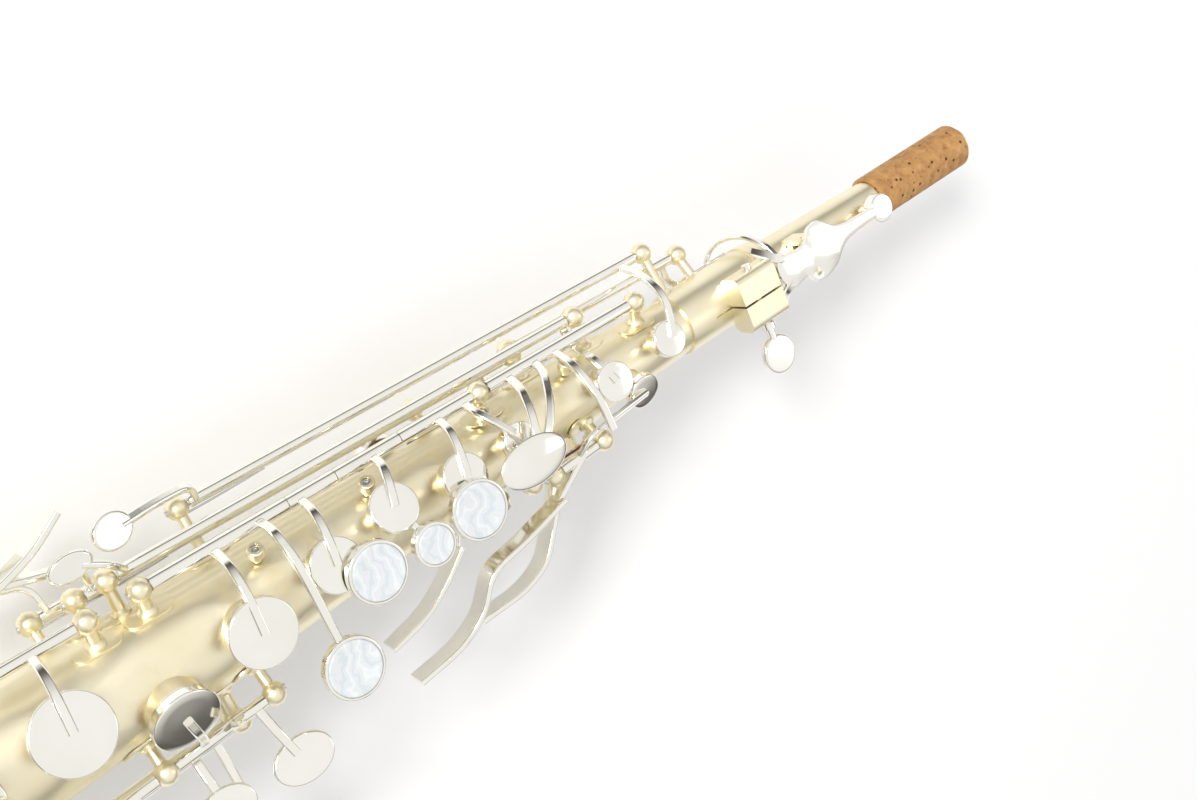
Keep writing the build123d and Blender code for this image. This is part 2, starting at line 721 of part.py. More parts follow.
def build_neck_octave_key():
    """The key that opens the neck's vent: a pad, a broad arm and a ring round the receiver."""
    x, _, z = NECK_PIVOT
    vent_z = neck_radius(PIP_X) + PIP_RISE + PAD_GAP
    pad = Pos(PIP_X, 0, vent_z) * Cylinder(3.4, 1.8, align=BASE)
    cup = disc(Plane(origin=(PIP_X, 0, vent_z + 0.7)), 4.4, 2.1, 0.6) - pad
    blade = make_face(Polyline((554, 3.2), (560, 4.0), (571, 4.2), (579, 7.4), (583, 3.0), (601, 1.6),
                               (601, -1.6), (583, -2.2), (574, -8.4), (569, -4.2), (560, -4.0),
                               (554, -3.2), close=True))
    blade = fillet(blade.vertices(), 1.2)
    blade = Pos(0, 0, z + 0.6) * extrude(blade, 1.8)
    blade = blade.rotate(Axis((x, 0, z), (0, 1, 0)), 2.5)
    boss = between((x, -4.4, z), (x, 4.4, z), 2.4)
    drop = Pos(PIP_X, 0, vent_z + 2.2) * Cylinder(1.5, 1.8, align=BASE)
    ring = Pos(547.3, 0, 0) * Rot(0, 110, 0) * Torus(14.9, 1.15)
    root = bar([(559, 0, z + 1.6), (555, 0, 15.6), (552.2, 0, 14.2)], 6, 1.9, (0, 1, 0))
    key = blade + boss + cup + drop + ring + root
    key -= between((x, -9, z), (x, 9, z), ROD_R + ROD_CLEARANCE)
    return [key, pad]


# Fittings

def build_thumb_rest():
    """The left thumb's round rest."""
    x = THUMB_REST_X
    stalk = disc(radial_plane(x, 180, -1), 5.5, 3.5)
    rest = disc(radial_plane(x, 180, 2.3), 8.5, 3.0, 1.2)
    return stalk + rest - cone_x(x - 20, x + 20, outer_radius(x - 20), outer_radius(x + 20))


def build_hook_base():
    """The curved plate and rail that the thumb hook slides on."""
    x = HOOK_X
    base = body_plate(x - 18, x + 18, 180, 12)
    rail = Pos(x, 0, -outer_radius(x) - 1.6) * Box(24, 7, 3.0)
    inside = (outer_radius(x - 30) + PLATE_THICK, outer_radius(x + 30) + PLATE_THICK)
    return base + rail - cone_x(x - 30, x + 30, *inside) + base


def build_thumb_hook():
    """The sliding hook for the right thumb."""
    x = HOOK_X
    top = -outer_radius(x) - 3.3
    slider = Pos(x, 0, top - 1.1) * Box(14, 9, 2.2)
    for side in (-1, 1):
        slider += Pos(x, side * 4.6, top + 0.2) * Box(14, 1.6, 4.6)
    route = [(x - 4, 0, top - 1.4), (x + 1, 0, top - 8), (x, 0, top - 17),
             (x - 8, 0, top - 23), (x - 17, 0, top - 23.5)]
    slider += bar(route, 12, 2.6, (0, 1, 0))
    screw = Pos(x + 6, 0, top - 3.4) * Cylinder(1.8, 2.6)
    return slider + screw


def build_strap_ring():
    """The ring for the neck strap's hook, on a small foot."""
    x = STRAP_X
    ring = Cylinder(STRAP_RING_R, STRAP_RING_LONG)
    ring = fillet(ring.edges(), 1.0)
    ring -= Cylinder(STRAP_BORE_R, STRAP_RING_LONG)
    ring = Pos(x, 0, -outer_radius(x) - 7.0) * Rot(90, 0, 0) * ring
    foot = Pos(x, 0, -outer_radius(x) - 0.6) * Box(9, 5, 3.2)
    foot -= cone_x(x - 20, x + 20, outer_radius(x - 20), outer_radius(x + 20))
    return ring + foot


def build_key_guards():
    """An arch over each low cup, along the body, that limits how far the key opens."""
    guards = []
    for name in GUARDED:
        hole = HOLES[name]
        reach = hole.radius + CUP_MARGIN + 3.2
        turn = math.radians(hole.angle)
        across = (0, math.cos(turn), -math.sin(turn))
        low, high = hole.x - reach, hole.x + reach
        stations = [polar(low, hole.angle, 0), polar(low + 1, hole.angle, GUARD_HEIGHT - 2.5),
                    polar(low + 8, hole.angle, GUARD_HEIGHT), polar(high - 8, hole.angle, GUARD_HEIGHT),
                    polar(high - 1, hole.angle, GUARD_HEIGHT - 2.5), polar(high, hole.angle, 0)]
        arch = bar(stations, 5.0, 1.6, across)
        seat = radial_plane(hole.x, hole.angle, GUARD_HEIGHT - 0.8)
        arch += disc(seat, 5.0, 2.4, 0.5)
        arch -= cone_x(BELL_TOP_X, BODY_TOP_X, BODY_LOW_R, BODY_TOP_R)
        guards.append(arch)
    return guards


def build_guard_felts():
    """A green felt bumper under each guard."""
    felts = []
    for name, guard in zip(GUARDED, build_key_guards()):
        hole = HOLES[name]
        seat = radial_plane(hole.x, hole.angle, GUARD_HEIGHT - 1.8)
        felts.append(disc(seat, 3.6, 1.0) - guard)
    return felts


def build_adjusting_screws():
    """Small cups on posts that hold the stack's adjusting screws."""
    screws = []
    for x in (360.0, 395.5, 436.0, 467.5):
        plane = radial_plane(x, 50, -1)
        stem = disc(plane, 1.3, 5.2)
        stem += disc(plane.offset(4.2), 2.4, 2.6, 0.6)
        stem -= disc(plane.offset(5.6), 1.4, 3)
        screws.append(stem - plated_body())
    return screws


# Put every node together and write it

def make_nodes():
    upper = [name for name, rod in RODS.items() if rod.low > 300]
    lower = [name for name in RODS if name not in upper]
    nodes = {
        "body_tube": [build_body_tube()],
        "bell": [build_bell()],
        "bell_rim": [build_bell_rim()],
        "bell_ring": [build_bell_ring()],
        "neck_receiver": [build_neck_receiver()],
        "neck_screw": [build_neck_screw()],
        "neck_tube": [build_neck_tube()],
        "neck_collar": [build_neck_collar()],
        "neck_cork": [build_neck_cork()],
        "neck_tip_ring": [build_neck_tip_ring()],
        "neck_saddle": [build_neck_saddle()],
        "neck_octave_key": build_neck_octave_key(),
        "upper_posts": build_posts(upper),
        "lower_posts": build_posts(lower),
        "upper_hinge_rods": build_rods(upper),
        "lower_hinge_rods": build_rods(lower),
        "post_plates": build_plates(),
        "adjusting_screws": build_adjusting_screws(),
        "thumb_rest": [build_thumb_rest()],
        "thumb_hook_base": [build_hook_base()],
        "thumb_hook": [build_thumb_hook()],
        "strap_ring": [build_strap_ring()],
        "key_guards": build_key_guards(),
        "guard_felts": build_guard_felts(),
        "front_f_key": [build_front_f()],
        "high_e_key": build_high_e(),
        "high_fsharp_key": build_high_fsharp(),
        "side_c_key": build_side_key(
            "side_c", 320.0, 455.0, 451.5, [(321.5, 33, 0), (304, 39, 3)],
            [(323, 49, 3), (314, 43.5, 3), (302, 39.5, 3), (289, 38, 3)]),
        "side_bb_key": build_side_key(
            "side_bb", 309.0, 422.0, 412, [(310.5, 32, -11.5), (293, 38, -11)],
            [(309, 48, -11), (301, 42.5, -11), (290, 39, -11), (277, 38, -11)]),
    }
    fsharp, fsharp_pads = pad_key("lower_stack", 283.7, 312.0, [(300, "fsharp")], lift=STACK_LIFT)
    nodes["fsharp_key"] = [fsharp] + fsharp_pads
    stacks = {**build_upper_stack(), **build_lower_stack()}
    for name, (key, pearl) in stacks.items():
        nodes[name + "_key"] = key
        nodes[name + "_pearl"] = [pearl]
    nodes.update(build_palm_keys())
    nodes.update(build_low_left_keys())
    nodes.update(build_low_right_keys())
    nodes.update(build_octave_keys())
    return nodes


if __name__ == "__main__":
    for node_name, node_solids in make_nodes().items():
        pieces = []
        for shape in node_solids:
            pieces += shape.solids()
        export_step(Compound(children=pieces), f"parts/{node_name}.step")
        print(node_name, len(pieces))
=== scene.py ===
import json
import math

import bmesh
import bpy
from mathutils import Matrix, Vector, noise


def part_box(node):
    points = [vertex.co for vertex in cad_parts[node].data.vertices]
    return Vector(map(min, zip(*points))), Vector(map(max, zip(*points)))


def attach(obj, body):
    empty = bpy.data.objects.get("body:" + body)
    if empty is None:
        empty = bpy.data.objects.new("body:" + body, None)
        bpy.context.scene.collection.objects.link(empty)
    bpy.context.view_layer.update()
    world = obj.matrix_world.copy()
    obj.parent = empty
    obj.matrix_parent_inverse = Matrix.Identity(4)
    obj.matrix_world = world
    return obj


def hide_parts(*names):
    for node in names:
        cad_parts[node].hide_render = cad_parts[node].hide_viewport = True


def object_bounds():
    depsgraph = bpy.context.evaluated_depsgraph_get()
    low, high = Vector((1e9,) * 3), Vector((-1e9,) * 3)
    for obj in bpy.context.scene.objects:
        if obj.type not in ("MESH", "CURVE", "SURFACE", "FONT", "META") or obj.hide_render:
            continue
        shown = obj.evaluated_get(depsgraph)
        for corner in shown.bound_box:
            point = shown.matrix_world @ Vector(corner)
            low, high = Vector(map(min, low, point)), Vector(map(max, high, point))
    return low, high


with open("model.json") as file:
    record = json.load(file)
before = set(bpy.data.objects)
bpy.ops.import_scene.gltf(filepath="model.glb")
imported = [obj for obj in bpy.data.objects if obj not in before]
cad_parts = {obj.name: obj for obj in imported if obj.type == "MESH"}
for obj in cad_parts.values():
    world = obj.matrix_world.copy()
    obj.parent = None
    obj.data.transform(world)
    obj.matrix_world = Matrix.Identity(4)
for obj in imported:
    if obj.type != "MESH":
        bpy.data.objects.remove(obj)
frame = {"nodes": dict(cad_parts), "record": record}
cad_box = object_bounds()

# Soprano saxophone. The script works in millimetres along the bore, like the design, and MM turns
# them into metres. A place on the body is x along the bore, an angle round it from +Z towards +Y,
# and a height above the tube.
MM = 0.001
BELL_TOP_X, BODY_TOP_X = 52.0, 519.0
BODY_LOW_R, BODY_TOP_R = 26.6, 9.3
CHIMNEY = 3.0
PAD_MARGIN = 1.5
CUP_MARGIN = 2.2
CUP_TOP = 6.5
STACK_LIFT = 7.0
WITH_PEARLS = ("b", "bis", "a", "g", "f", "e", "d")
SCREW_PLACES = (360.0, 395.5, 436.0, 467.5)
SCREW_ANGLE = 50

# The neck octave key, with its ring's tilt in degrees
NECK_PIVOT_X, NECK_PIVOT_Z = 565, 12.6
NECK_PAD_X, NECK_PAD_Z = 600, 9.24
NECK_RING_X, NECK_RING_R, NECK_RING_TILT = 547.3, 14.9, 20
TAB_HOLE_X, TAB_HOLE_Y, TAB_HOLE_R = 564.6, -6.3, 0.95
BLADE_THICK = 1.6
BLADE_LOW_X, BLADE_LOW_Z, BLADE_FALL = 553, 15.5, 0.032

# The blade's outline from its fork, along the tab's side to the pad and back past the cut-out
BLADE = ((549, 3.5), (549.6, -2.8), (553.4, -6.0), (557.0, -5.6), (560.0, -5.4), (561.4, -7.6),
         (564.2, -9.0), (568.5, -9.1), (573.6, -7.4), (577.3, -4.5), (580.5, -2.7), (586.1, -1.8),
         (592.6, -1.5), (596.0, -1.5), (597.5, 0.2), (596.0, 2.0), (592.7, 2.4), (583.4, 2.9),
         (577.9, 4.3), (574.7, 6.5), (571.4, 9.0), (568.0, 9.1), (565.6, 8.2), (564.2, 6.4),
         (561.7, 4.8), (557.2, 4.7), (552.8, 5.6))

# Hinge rods: angle, height, lower post and upper post
RODS = {
    "upper_stack": (65, 8, 330, 499),
    "lower_stack": (62, 9, 194, 315),
    "low_right": (62, 9, 117, 190.5),
    "low_left": (-62, 9, 150, 347),
    "low_left_b": (-78, 10, 92, 337),
    "low_left_bb": (-94, 11, 66, 337),
    "high_e": (82, 10.5, 325, 480),
    "high_fsharp": (104.5, 15.5, 352, 517),
    "side_c": (95, 8, 317, 458),
    "side_bb": (114, 8, 306, 425),
    "palm_f": (-44, 8, 447, 467),
    "palm_eb": (-95, 7, 447, 472),
    "palm_d": (-125, 7, 418, 442),
    "octave_thumb": (-148, 6, 402, 427),
    "body_octave": (-135, 6, 452, 474),
    "octave_rocker": (118, 10, 462, 531),
}

# Tone holes: x, angle, radius, the body its pad moves with, that key's rod, and whether it rests open
HOLES = {
    "high_fsharp": (501, 11, 3.4, "high_fsharp_key", "high_fsharp", False),
    "high_e": (477, 5, 4.0, "high_e_key", "high_e", False),
    "palm_f": (486, -25, 3.4, "palm_f_key", "palm_f", False),
    "palm_eb": (459, -71, 3.4, "palm_eb_key", "palm_eb", False),
    "palm_d": (432, -98, 4.2, "palm_d_key", "palm_d", False),
    "body_octave": (463, -165, 1.3, "body_octave_key", "body_octave", False),
    "side_c": (449, 142, 4.4, "side_c_key", "side_c", False),
    "side_bb": (411, 142, 5.0, "side_bb_key", "side_bb", False),
    "c_vent": (439.5, 6, 3.4, "b_key", "upper_stack", True),
    "b": (419, 7, 4.6, "b_key", "upper_stack", True),
    "bis": (396.5, 18, 4.8, "bis_key", "upper_stack", True),
    "a": (374.5, 5, 5.4, "a_key", "upper_stack", True),
    "g": (349, -6, 7.3, "g_key", "upper_stack", True),
    "gsharp": (323, -28, 7.2, "gsharp_key", "low_left", False),
    "fsharp": (298, 9, 8.2, "fsharp_key", "lower_stack", True),
    "f": (268, 5, 8.8, "f_key", "lower_stack", True),
    "e": (238, 5, 9.4, "e_key", "lower_stack", True),
    "d": (207, 5, 10.0, "d_key", "lower_stack", True),
    "eb": (186, 118, 9.0, "low_eb_key", "low_right", False),
    "low_csharp": (172, -22, 9.6, "low_csharp_key", "low_left", False),
    "low_c": (140, 20, 11.0, "low_c_key", "low_right", True),
    "low_b": (108, -32, 11.6, "low_b_key", "low_left_b", True),
    "low_bb": (76, -6, 12.2, "low_bb_key", "low_left_bb", True),
}


# Places

def outer_radius(x):
    slope = (BODY_LOW_R - BODY_TOP_R) / (BODY_TOP_X - BELL_TOP_X)
    return BODY_TOP_R + (BODY_TOP_X - x) * slope


def polar(x, angle, height):
    radius = outer_radius(x) + height
    turn = math.radians(angle)
    return Vector((x, radius * math.sin(turn), radius * math.cos(turn)))


def outward_frame(x, angle, height):
    """A frame at a place on the body: its Z faces out and its X runs up the bore."""
    turn = math.radians(angle)
    side = Vector((0, math.cos(turn), -math.sin(turn)))
    out = Vector((0, math.sin(turn), math.cos(turn)))
    across = Vector((1, 0, 0))
    turned = Matrix((across, -side, out)).transposed().to_4x4()
    return Matrix.Translation(polar(x, angle, height)) @ turned


def rod_point(name, x):
    angle, height, _, _ = RODS[name]
    return polar(x, angle, height)


def swing(name, degrees):
    """A turn about a key's hinge rod, by the right-hand rule up the bore."""
    _, _, low, high = RODS[name]
    start = rod_point(name, low)
    axis = rod_point(name, high) - start
    turn = Matrix.Rotation(math.radians(degrees), 4, axis)
    return Matrix.Translation(start) @ turn @ Matrix.Translation(-start)


def hole_frame(name):
    """Where a tone hole's pad and cup are with the instrument at rest."""
    x, angle, _, _, rod, is_open = HOLES[name]
    place = outward_frame(x, angle, 0)
    if not is_open:
        return place
    closing = 1 if RODS[rod][0] > angle else -1
    return swing(rod, -closing * STACK_LIFT) @ place


# Mesh helpers

def add_piece(name, mesh_data, material, body, smooth=35):
    """An object for a bmesh whose points are in millimetres, riding on a body."""
    mesh = bpy.data.meshes.new(name)
    bmesh.ops.scale(mesh_data, vec=(MM, MM, MM), verts=mesh_data.verts)
    bmesh.ops.recalc_face_normals(mesh_data, faces=mesh_data.faces)
    mesh_data.to_mesh(mesh)
    mesh_data.free()
    piece = bpy.data.objects.new(name, mesh)
    bpy.context.scene.collection.objects.link(piece)
    mesh.materials.append(material)
    mesh.shade_smooth()
    mesh.set_sharp_from_angle(angle=math.radians(smooth))
    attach(piece, body)
    return piece


def lathe(profile, place, segments=64):
    """Turn a profile of (radius, height) about a frame's Z axis. Ends at radius 0 are closed."""
    shape = bmesh.new()
    rings = []
    for radius, height in profile:
        if radius < 1e-6:
            rings.append([shape.verts.new(place @ Vector((0, 0, height)))])
            continue
        ring = []
        for step in range(segments):
            turn = 2 * math.pi * step / segments
            point = Vector((radius * math.cos(turn), radius * math.sin(turn), height))
            ring.append(shape.verts.new(place @ point))
        rings.append(ring)
    for low, high in zip(rings, rings[1:]):
        for step in range(segments):
            after = (step + 1) % segments
            if len(low) == 1:
                shape.faces.new((low[0], high[step], high[after]))
            elif len(high) == 1:
                shape.faces.new((low[step], low[after], high[0]))
            else:
                shape.faces.new((low[step], low[after], high[after], high[step]))
    return shape


def round_corner(radius, height, size, start, end, steps=5):
    """Points of a quarter round about (radius, height), from one angle to another, in degrees."""
    points = []
    for step in range(steps + 1):
        turn = math.radians(start + (end - start) * step / steps)
        points.append((radius + size * math.cos(turn), height + size * math.sin(turn)))
    return points


def wire(points, radii, segments=10):
    """A round wire through points, with a radius at each."""
    shape = bmesh.new()
    rings = []
    for index, (point, radius) in enumerate(zip(points, radii)):
        before = points[max(0, index - 1)]
        after = points[min(len(points) - 1, index + 1)]
        along = (after - before).normalized()
        side = along.orthogonal().normalized()
        up = along.cross(side)
        ring = []
        for step in range(segments):
            turn = 2 * math.pi * step / segments
            ring.append(shape.verts.new(point + radius * (math.cos(turn) * side + math.sin(turn) * up)))
        rings.append(ring)
    for low, high in zip(rings, rings[1:]):
        for step in range(segments):
            after = (step + 1) % segments
            shape.faces.new((low[step], low[after], high[after], high[step]))
    shape.faces.new(rings[0][::-1])
    shape.faces.new(rings[-1])
    return shape


def smooth_line(points, closed, steps=5):
    """Points on a smooth curve through the given ones."""
    count = len(points)
    line = []
    for index in range(count if closed else count - 1):
        if closed:
            a, b, c, d = (points[(index + shift) % count] for shift in (-1, 0, 1, 2))
        else:
            a, b, c, d = (points[min(max(index + shift, 0), count - 1)] for shift in (-1, 0, 1, 2))
        for step in range(steps):
            t = step / steps
            line.append(0.5 * (2 * b + (c - a) * t + (2 * a - 5 * b + 4 * c - d) * t * t
                               + (3 * b - a - 3 * c + d) * t ** 3))
    if not closed:
        line.append(points[-1])
    return line


def inset_line(line, amount):
    """A closed line in the XY plane, moved to its left by an amount."""
    moved = []
    for index, point in enumerate(line):
        along = line[(index + 1) % len(line)] - line[index - 1]
        left = Vector((-along.y, along.x, 0)).normalized()
        moved.append(point + amount * left)
    return moved


def plate(outline, holes, top_height, thick, edge):
    """A plate with rounded edges. Its top follows top_height(x), and lines run anticlockwise."""
    shape = bmesh.new()
    for loops, side in ((outline, 1), (holes, -1)):
        for line in loops:
            levels = [(edge, -thick), (0, edge - thick), (0, -edge), (0.3 * edge, -0.3 * edge),
                      (edge, 0)]
            rings = []
            for inward, height in levels:
                ring = []
                for point in inset_line(line, side * inward):
                    level = top_height(point.x) + height
                    ring.append(shape.verts.new((point.x, point.y, level)))
                rings.append(ring)
            for low, high in zip(rings, rings[1:]):
                for step in range(len(low)):
                    after = (step + 1) % len(low)
                    shape.faces.new((low[step], low[after], high[after], high[step]))
    upper = []
    lower = []
    for edge_item in [item for item in shape.edges if item.is_boundary]:
        corner = edge_item.verts[0].co
        is_upper = corner.z > top_height(corner.x) - 0.5 * thick
        (upper if is_upper else lower).append(edge_item)
    bmesh.ops.triangle_fill(shape, use_beauty=True, edges=upper)
    bmesh.ops.triangle_fill(shape, use_beauty=True, edges=lower)
    return shape


def strap(points, normals, width, thick):
    """A flat band with rounded edges along points, its face towards the normals."""
    section = []
    for side in (1, -1):
        for turn in (-60, -30, 0, 30, 60):
            angle = math.radians(turn)
            section.append((side * (width / 2 - thick / 2 + thick / 2 * math.cos(angle)),
                            side * thick / 2 * math.sin(angle)))
    shape = bmesh.new()
    rings = []
    for index, point in enumerate(points):
        along = (points[min(index + 1, len(points) - 1)] - points[max(index - 1, 0)]).normalized()
        across = along.cross(normals[index]).normalized()
        up = across.cross(along)
        rings.append([shape.verts.new(point + a * across + b * up) for a, b in section])
    for low, high in zip(rings, rings[1:]):
        for step in range(len(section)):
            after = (step + 1) % len(section)
            shape.faces.new((low[step], low[after], high[after], high[step]))
    shape.faces.new(rings[0][::-1])
    shape.faces.new(rings[-1])
    return shape


# Materials

def shader(name):
    """A new node material: its tree, its Principled shader and a coordinate node."""
    material = bpy.data.materials.new(name)
    material.use_nodes = True
    tree = material.node_tree
    principled = tree.nodes["Principled BSDF"]
    coordinates = tree.nodes.new("ShaderNodeTexCoord")
    return material, tree, principled, coordinates


def noise_node(tree, coordinates, scale, detail=4.0, roughness=0.5):
    node = tree.nodes.new("ShaderNodeTexNoise")
    node.inputs["Scale"].default_value = scale
    node.inputs["Detail"].default_value = detail
    node.inputs["Roughness"].default_value = roughness
    tree.links.new(coordinates.outputs["Object"], node.inputs["Vector"])
    return node.outputs["Fac"]


def cells_node(tree, coordinates, scale):
    node = tree.nodes.new("ShaderNodeTexVoronoi")
    node.inputs["Scale"].default_value = scale
    tree.links.new(coordinates.outputs["Object"], node.inputs["Vector"])
    return node.outputs["Distance"]


def ramp_node(tree, value, stops):
    """A colour ramp: stops are (position, colour)."""
    node = tree.nodes.new("ShaderNodeValToRGB")
    elements = node.color_ramp.elements
    while len(elements) < len(stops):
        elements.new(0.5)
    for element, (position, colour) in zip(elements, stops):
        element.position = position
        element.color = (*colour, 1.0)
    tree.links.new(value, node.inputs["Fac"])
    return node.outputs["Color"]


def range_node(tree, value, low, high):
    node = tree.nodes.new("ShaderNodeMapRange")
    node.inputs["To Min"].default_value = low
    node.inputs["To Max"].default_value = high
    tree.links.new(value, node.inputs["Value"])
    return node.outputs["Result"]


def bump_node(tree, principled, value, strength, distance):
    node = tree.nodes.new("ShaderNodeBump")
    node.inputs["Strength"].default_value = strength
    node.inputs["Distance"].default_value = distance
    tree.links.new(value, node.inputs["Height"])
    tree.links.new(node.outputs["Normal"], principled.inputs["Normal"])


def metal(name, dark, light, rough, grain, bump, coat=0.0):
    """A metal whose tint and roughness drift a little over the surface."""
    material, tree, principled, coordinates = shader(name)
    principled.inputs["Metallic"].default_value = 1.0
    principled.inputs["Coat Weight"].default_value = coat
    principled.inputs["Coat Roughness"].default_value = 0.12
    drift = noise_node(tree, coordinates, 60.0)
    colour = ramp_node(tree, drift, [(0.3, dark), (0.7, light)])
    tree.links.new(colour, principled.inputs["Base Color"])
    fine = noise_node(tree, coordinates, grain, 6.0, 0.6)
    tree.links.new(range_node(tree, fine, *rough), principled.inputs["Roughness"])
    bump_node(tree, principled, fine, bump, 0.00005)
    return material


def make_pearl():
    """Mother of pearl: cloudy bands of cool white with a faint pink and green."""
    material, tree, principled, coordinates = shader("mother_of_pearl")
    principled.inputs["Roughness"].default_value = 0.16
    principled.inputs["Coat Weight"].default_value = 0.6
    principled.inputs["Coat Roughness"].default_value = 0.05
    principled.inputs["Thin Film Thickness"].default_value = 340.0
    clouds = tree.nodes.new("ShaderNodeTexWave")
    clouds.inputs["Scale"].default_value = 60.0
    clouds.inputs["Distortion"].default_value = 14.0
    clouds.inputs["Detail"].default_value = 3.0
    clouds.inputs["Detail Scale"].default_value = 1.6
    tree.links.new(coordinates.outputs["Object"], clouds.inputs["Vector"])
    stops = [(0.0, (0.62, 0.68, 0.69)), (0.35, (0.72, 0.75, 0.74)), (0.6, (0.74, 0.71, 0.72)),
             (0.8, (0.66, 0.74, 0.72)), (1.0, (0.78, 0.80, 0.79))]
    colour = ramp_node(tree, clouds.outputs["Fac"], stops)
    tree.links.new(colour, principled.inputs["Base Color"])
    bump_node(tree, principled, noise_node(tree, coordinates, 500.0), 0.05, 0.00005)
    return material


def make_cork():
    """Natural cork: warm brown grain, lighter flecks and dark pits."""
    material, tree, principled, coordinates = shader("natural_cork")
    principled.inputs["Roughness"].default_value = 0.72
    grain = noise_node(tree, coordinates, 330.0, 8.0, 0.65)
    stops = [(0.28, (0.28, 0.125, 0.038)), (0.45, (0.46, 0.235, 0.080)), (0.60, (0.55, 0.30, 0.108)),
             (0.78, (0.66, 0.40, 0.17))]
    colour = ramp_node(tree, grain, stops)
    pits = cells_node(tree, coordinates, 300.0)
    pit_mask = ramp_node(tree, pits, [(0.10, (0.16, 0.07, 0.03)), (0.22, (1, 1, 1))])
    mixed = tree.nodes.new("ShaderNodeMix")
    mixed.data_type = "RGBA"
    mixed.blend_type = "MULTIPLY"
    mixed.inputs["Factor"].default_value = 1.0
    tree.links.new(colour, mixed.inputs["A"])
    tree.links.new(pit_mask, mixed.inputs["B"])
    tree.links.new(mixed.outputs["Result"], principled.inputs["Base Color"])
    bump_node(tree, principled, pit_mask, 0.6, 0.0003)
    return material


def make_leather():
    """The pads' tanned leather, dark red brown with a fine grain."""
    material, tree, principled, coordinates = shader("pad_leather")
    principled.inputs["Roughness"].default_value = 0.55
    grain = cells_node(tree, coordinates, 1400.0)
    tone = noise_node(tree, coordinates, 180.0)
    stops = [(0.3, (0.13, 0.035, 0.018)), (0.7, (0.26, 0.085, 0.045))]
    tree.links.new(ramp_node(tree, tone, stops), principled.inputs["Base Color"])
    bump_node(tree, principled, grain, 0.35, 0.0001)
    return material


def make_felt(name, dark, light):
    """Pressed felt: fuzzy, matt, with a soft sheen."""
    material, tree, principled, coordinates = shader(name)
    principled.inputs["Roughness"].default_value = 0.95
    principled.inputs["Sheen Weight"].default_value = 0.4
    fibres = noise_node(tree, coordinates, 2200.0, 8.0, 0.7)
    tree.links.new(ramp_node(tree, fibres, [(0.3, dark), (0.7, light)]), principled.inputs["Base Color"])
    bump_node(tree, principled, fibres, 0.5, 0.0002)
    return material


# Each metal's dark and light tint, range of roughness, size of grain, bump and coat
LACQUER = metal("satin_lacquer", (0.92, 0.83, 0.58), (0.97, 0.90, 0.68), (0.30, 0.44), 1500.0, 0.12,
                0.15)
SILVER = metal("polished_silver", (0.90, 0.88, 0.80), (0.95, 0.93, 0.865), (0.08, 0.16), 700.0, 0.012)
STEEL = metal("hinge_steel", (0.66, 0.66, 0.66), (0.80, 0.80, 0.80), (0.16, 0.28), 900.0, 0.03)
PEARL = make_pearl()
CORK = make_cork()
LEATHER = make_leather()
GREEN_FELT = make_felt("green_felt", (0.01, 0.20, 0.05), (0.03, 0.38, 0.11))

SLOT_MATERIALS = {"lacquer": LACQUER, "silver": SILVER, "steel": STEEL, "cork": CORK, "pearl": PEARL,
                  "felt": GREEN_FELT}


def paint_cad():
    """Give each CAD node the finish of its slot in the record."""
    for part in frame["record"]["subparts"]:
        node = frame["nodes"][part["node"]]
        material = SLOT_MATERIALS[part["material_slot"]]
        if node.material_slots:
            for slot in node.material_slots:
                slot.material = material
        else:
            node.data.materials.append(material)


# Pieces

def make_pads():
    """Leather pads in their cups, with a domed metal resonator on the larger ones."""
    for name, (_, _, radius, body, _, _) in HOLES.items():
        place = hole_frame(name)
        edge = radius + PAD_MARGIN + 0.08
        low = CHIMNEY + 0.04
        profile = [(0, low)]
        profile += round_corner(edge - 0.5, low + 0.5, 0.5, -90, 0)
        profile += [(edge, 4.2), (0, 4.2)]
        add_piece("pad_" + name, lathe(profile, place), LEATHER, body)
        if radius > 4.0:
            rim = 0.62 * radius
            dome = [(0, low - 0.55), (0.3 * rim, low - 0.52), (0.7 * rim, low - 0.35), (rim, low - 0.08),
                    (rim, low + 0.1), (0, low + 0.1)]
            add_piece("resonator_" + name, lathe(dome, place, 40), SILVER, body)


def make_cup_tops():
    """The spun top of each pad cup: nearly flat, with a soft rolled edge."""
    for name, (_, _, radius, body, _, _) in HOLES.items():
        place = hole_frame(name)
        edge = radius + CUP_MARGIN + 0.05
        top = CUP_TOP + 0.12
        profile = [(0, CUP_TOP - 0.9), (edge - 0.4, CUP_TOP - 0.9), (edge, CUP_TOP - 0.8)]
        profile += round_corner(edge - 0.55, top - 0.55, 0.55, 0, 80, 6)
        profile += [(0.7 * edge, top + 0.05), (0.35 * edge, top + 0.16), (0, top + 0.2)]
        add_piece("cup_top_" + name, lathe(profile, place, 72), SILVER, body)


def make_front_touch():
    """The domed oval of the front F touch, polished like a mirror."""
    width, length = 13.5, 22.0
    centre = Vector((437, -1.2, 26.2))
    shape = lathe([(1.0, 1.2), (1.02, 1.5), (0.99, 1.75), (0.93, 1.98), (0.8, 2.3), (0.6, 2.62),
                   (0.38, 2.84), (0.18, 2.95), (0, 2.98)], Matrix.Identity(4), 96)
    shape.faces.new([vert for vert in shape.verts[:96]][::-1])
    for vert in shape.verts:
        vert.co = centre + Vector((vert.co.x * length / 2, vert.co.y * width / 2, vert.co.z - 0.1))
    add_piece("front_f_touch_dome", shape, SILVER, "front_f_key", 50)


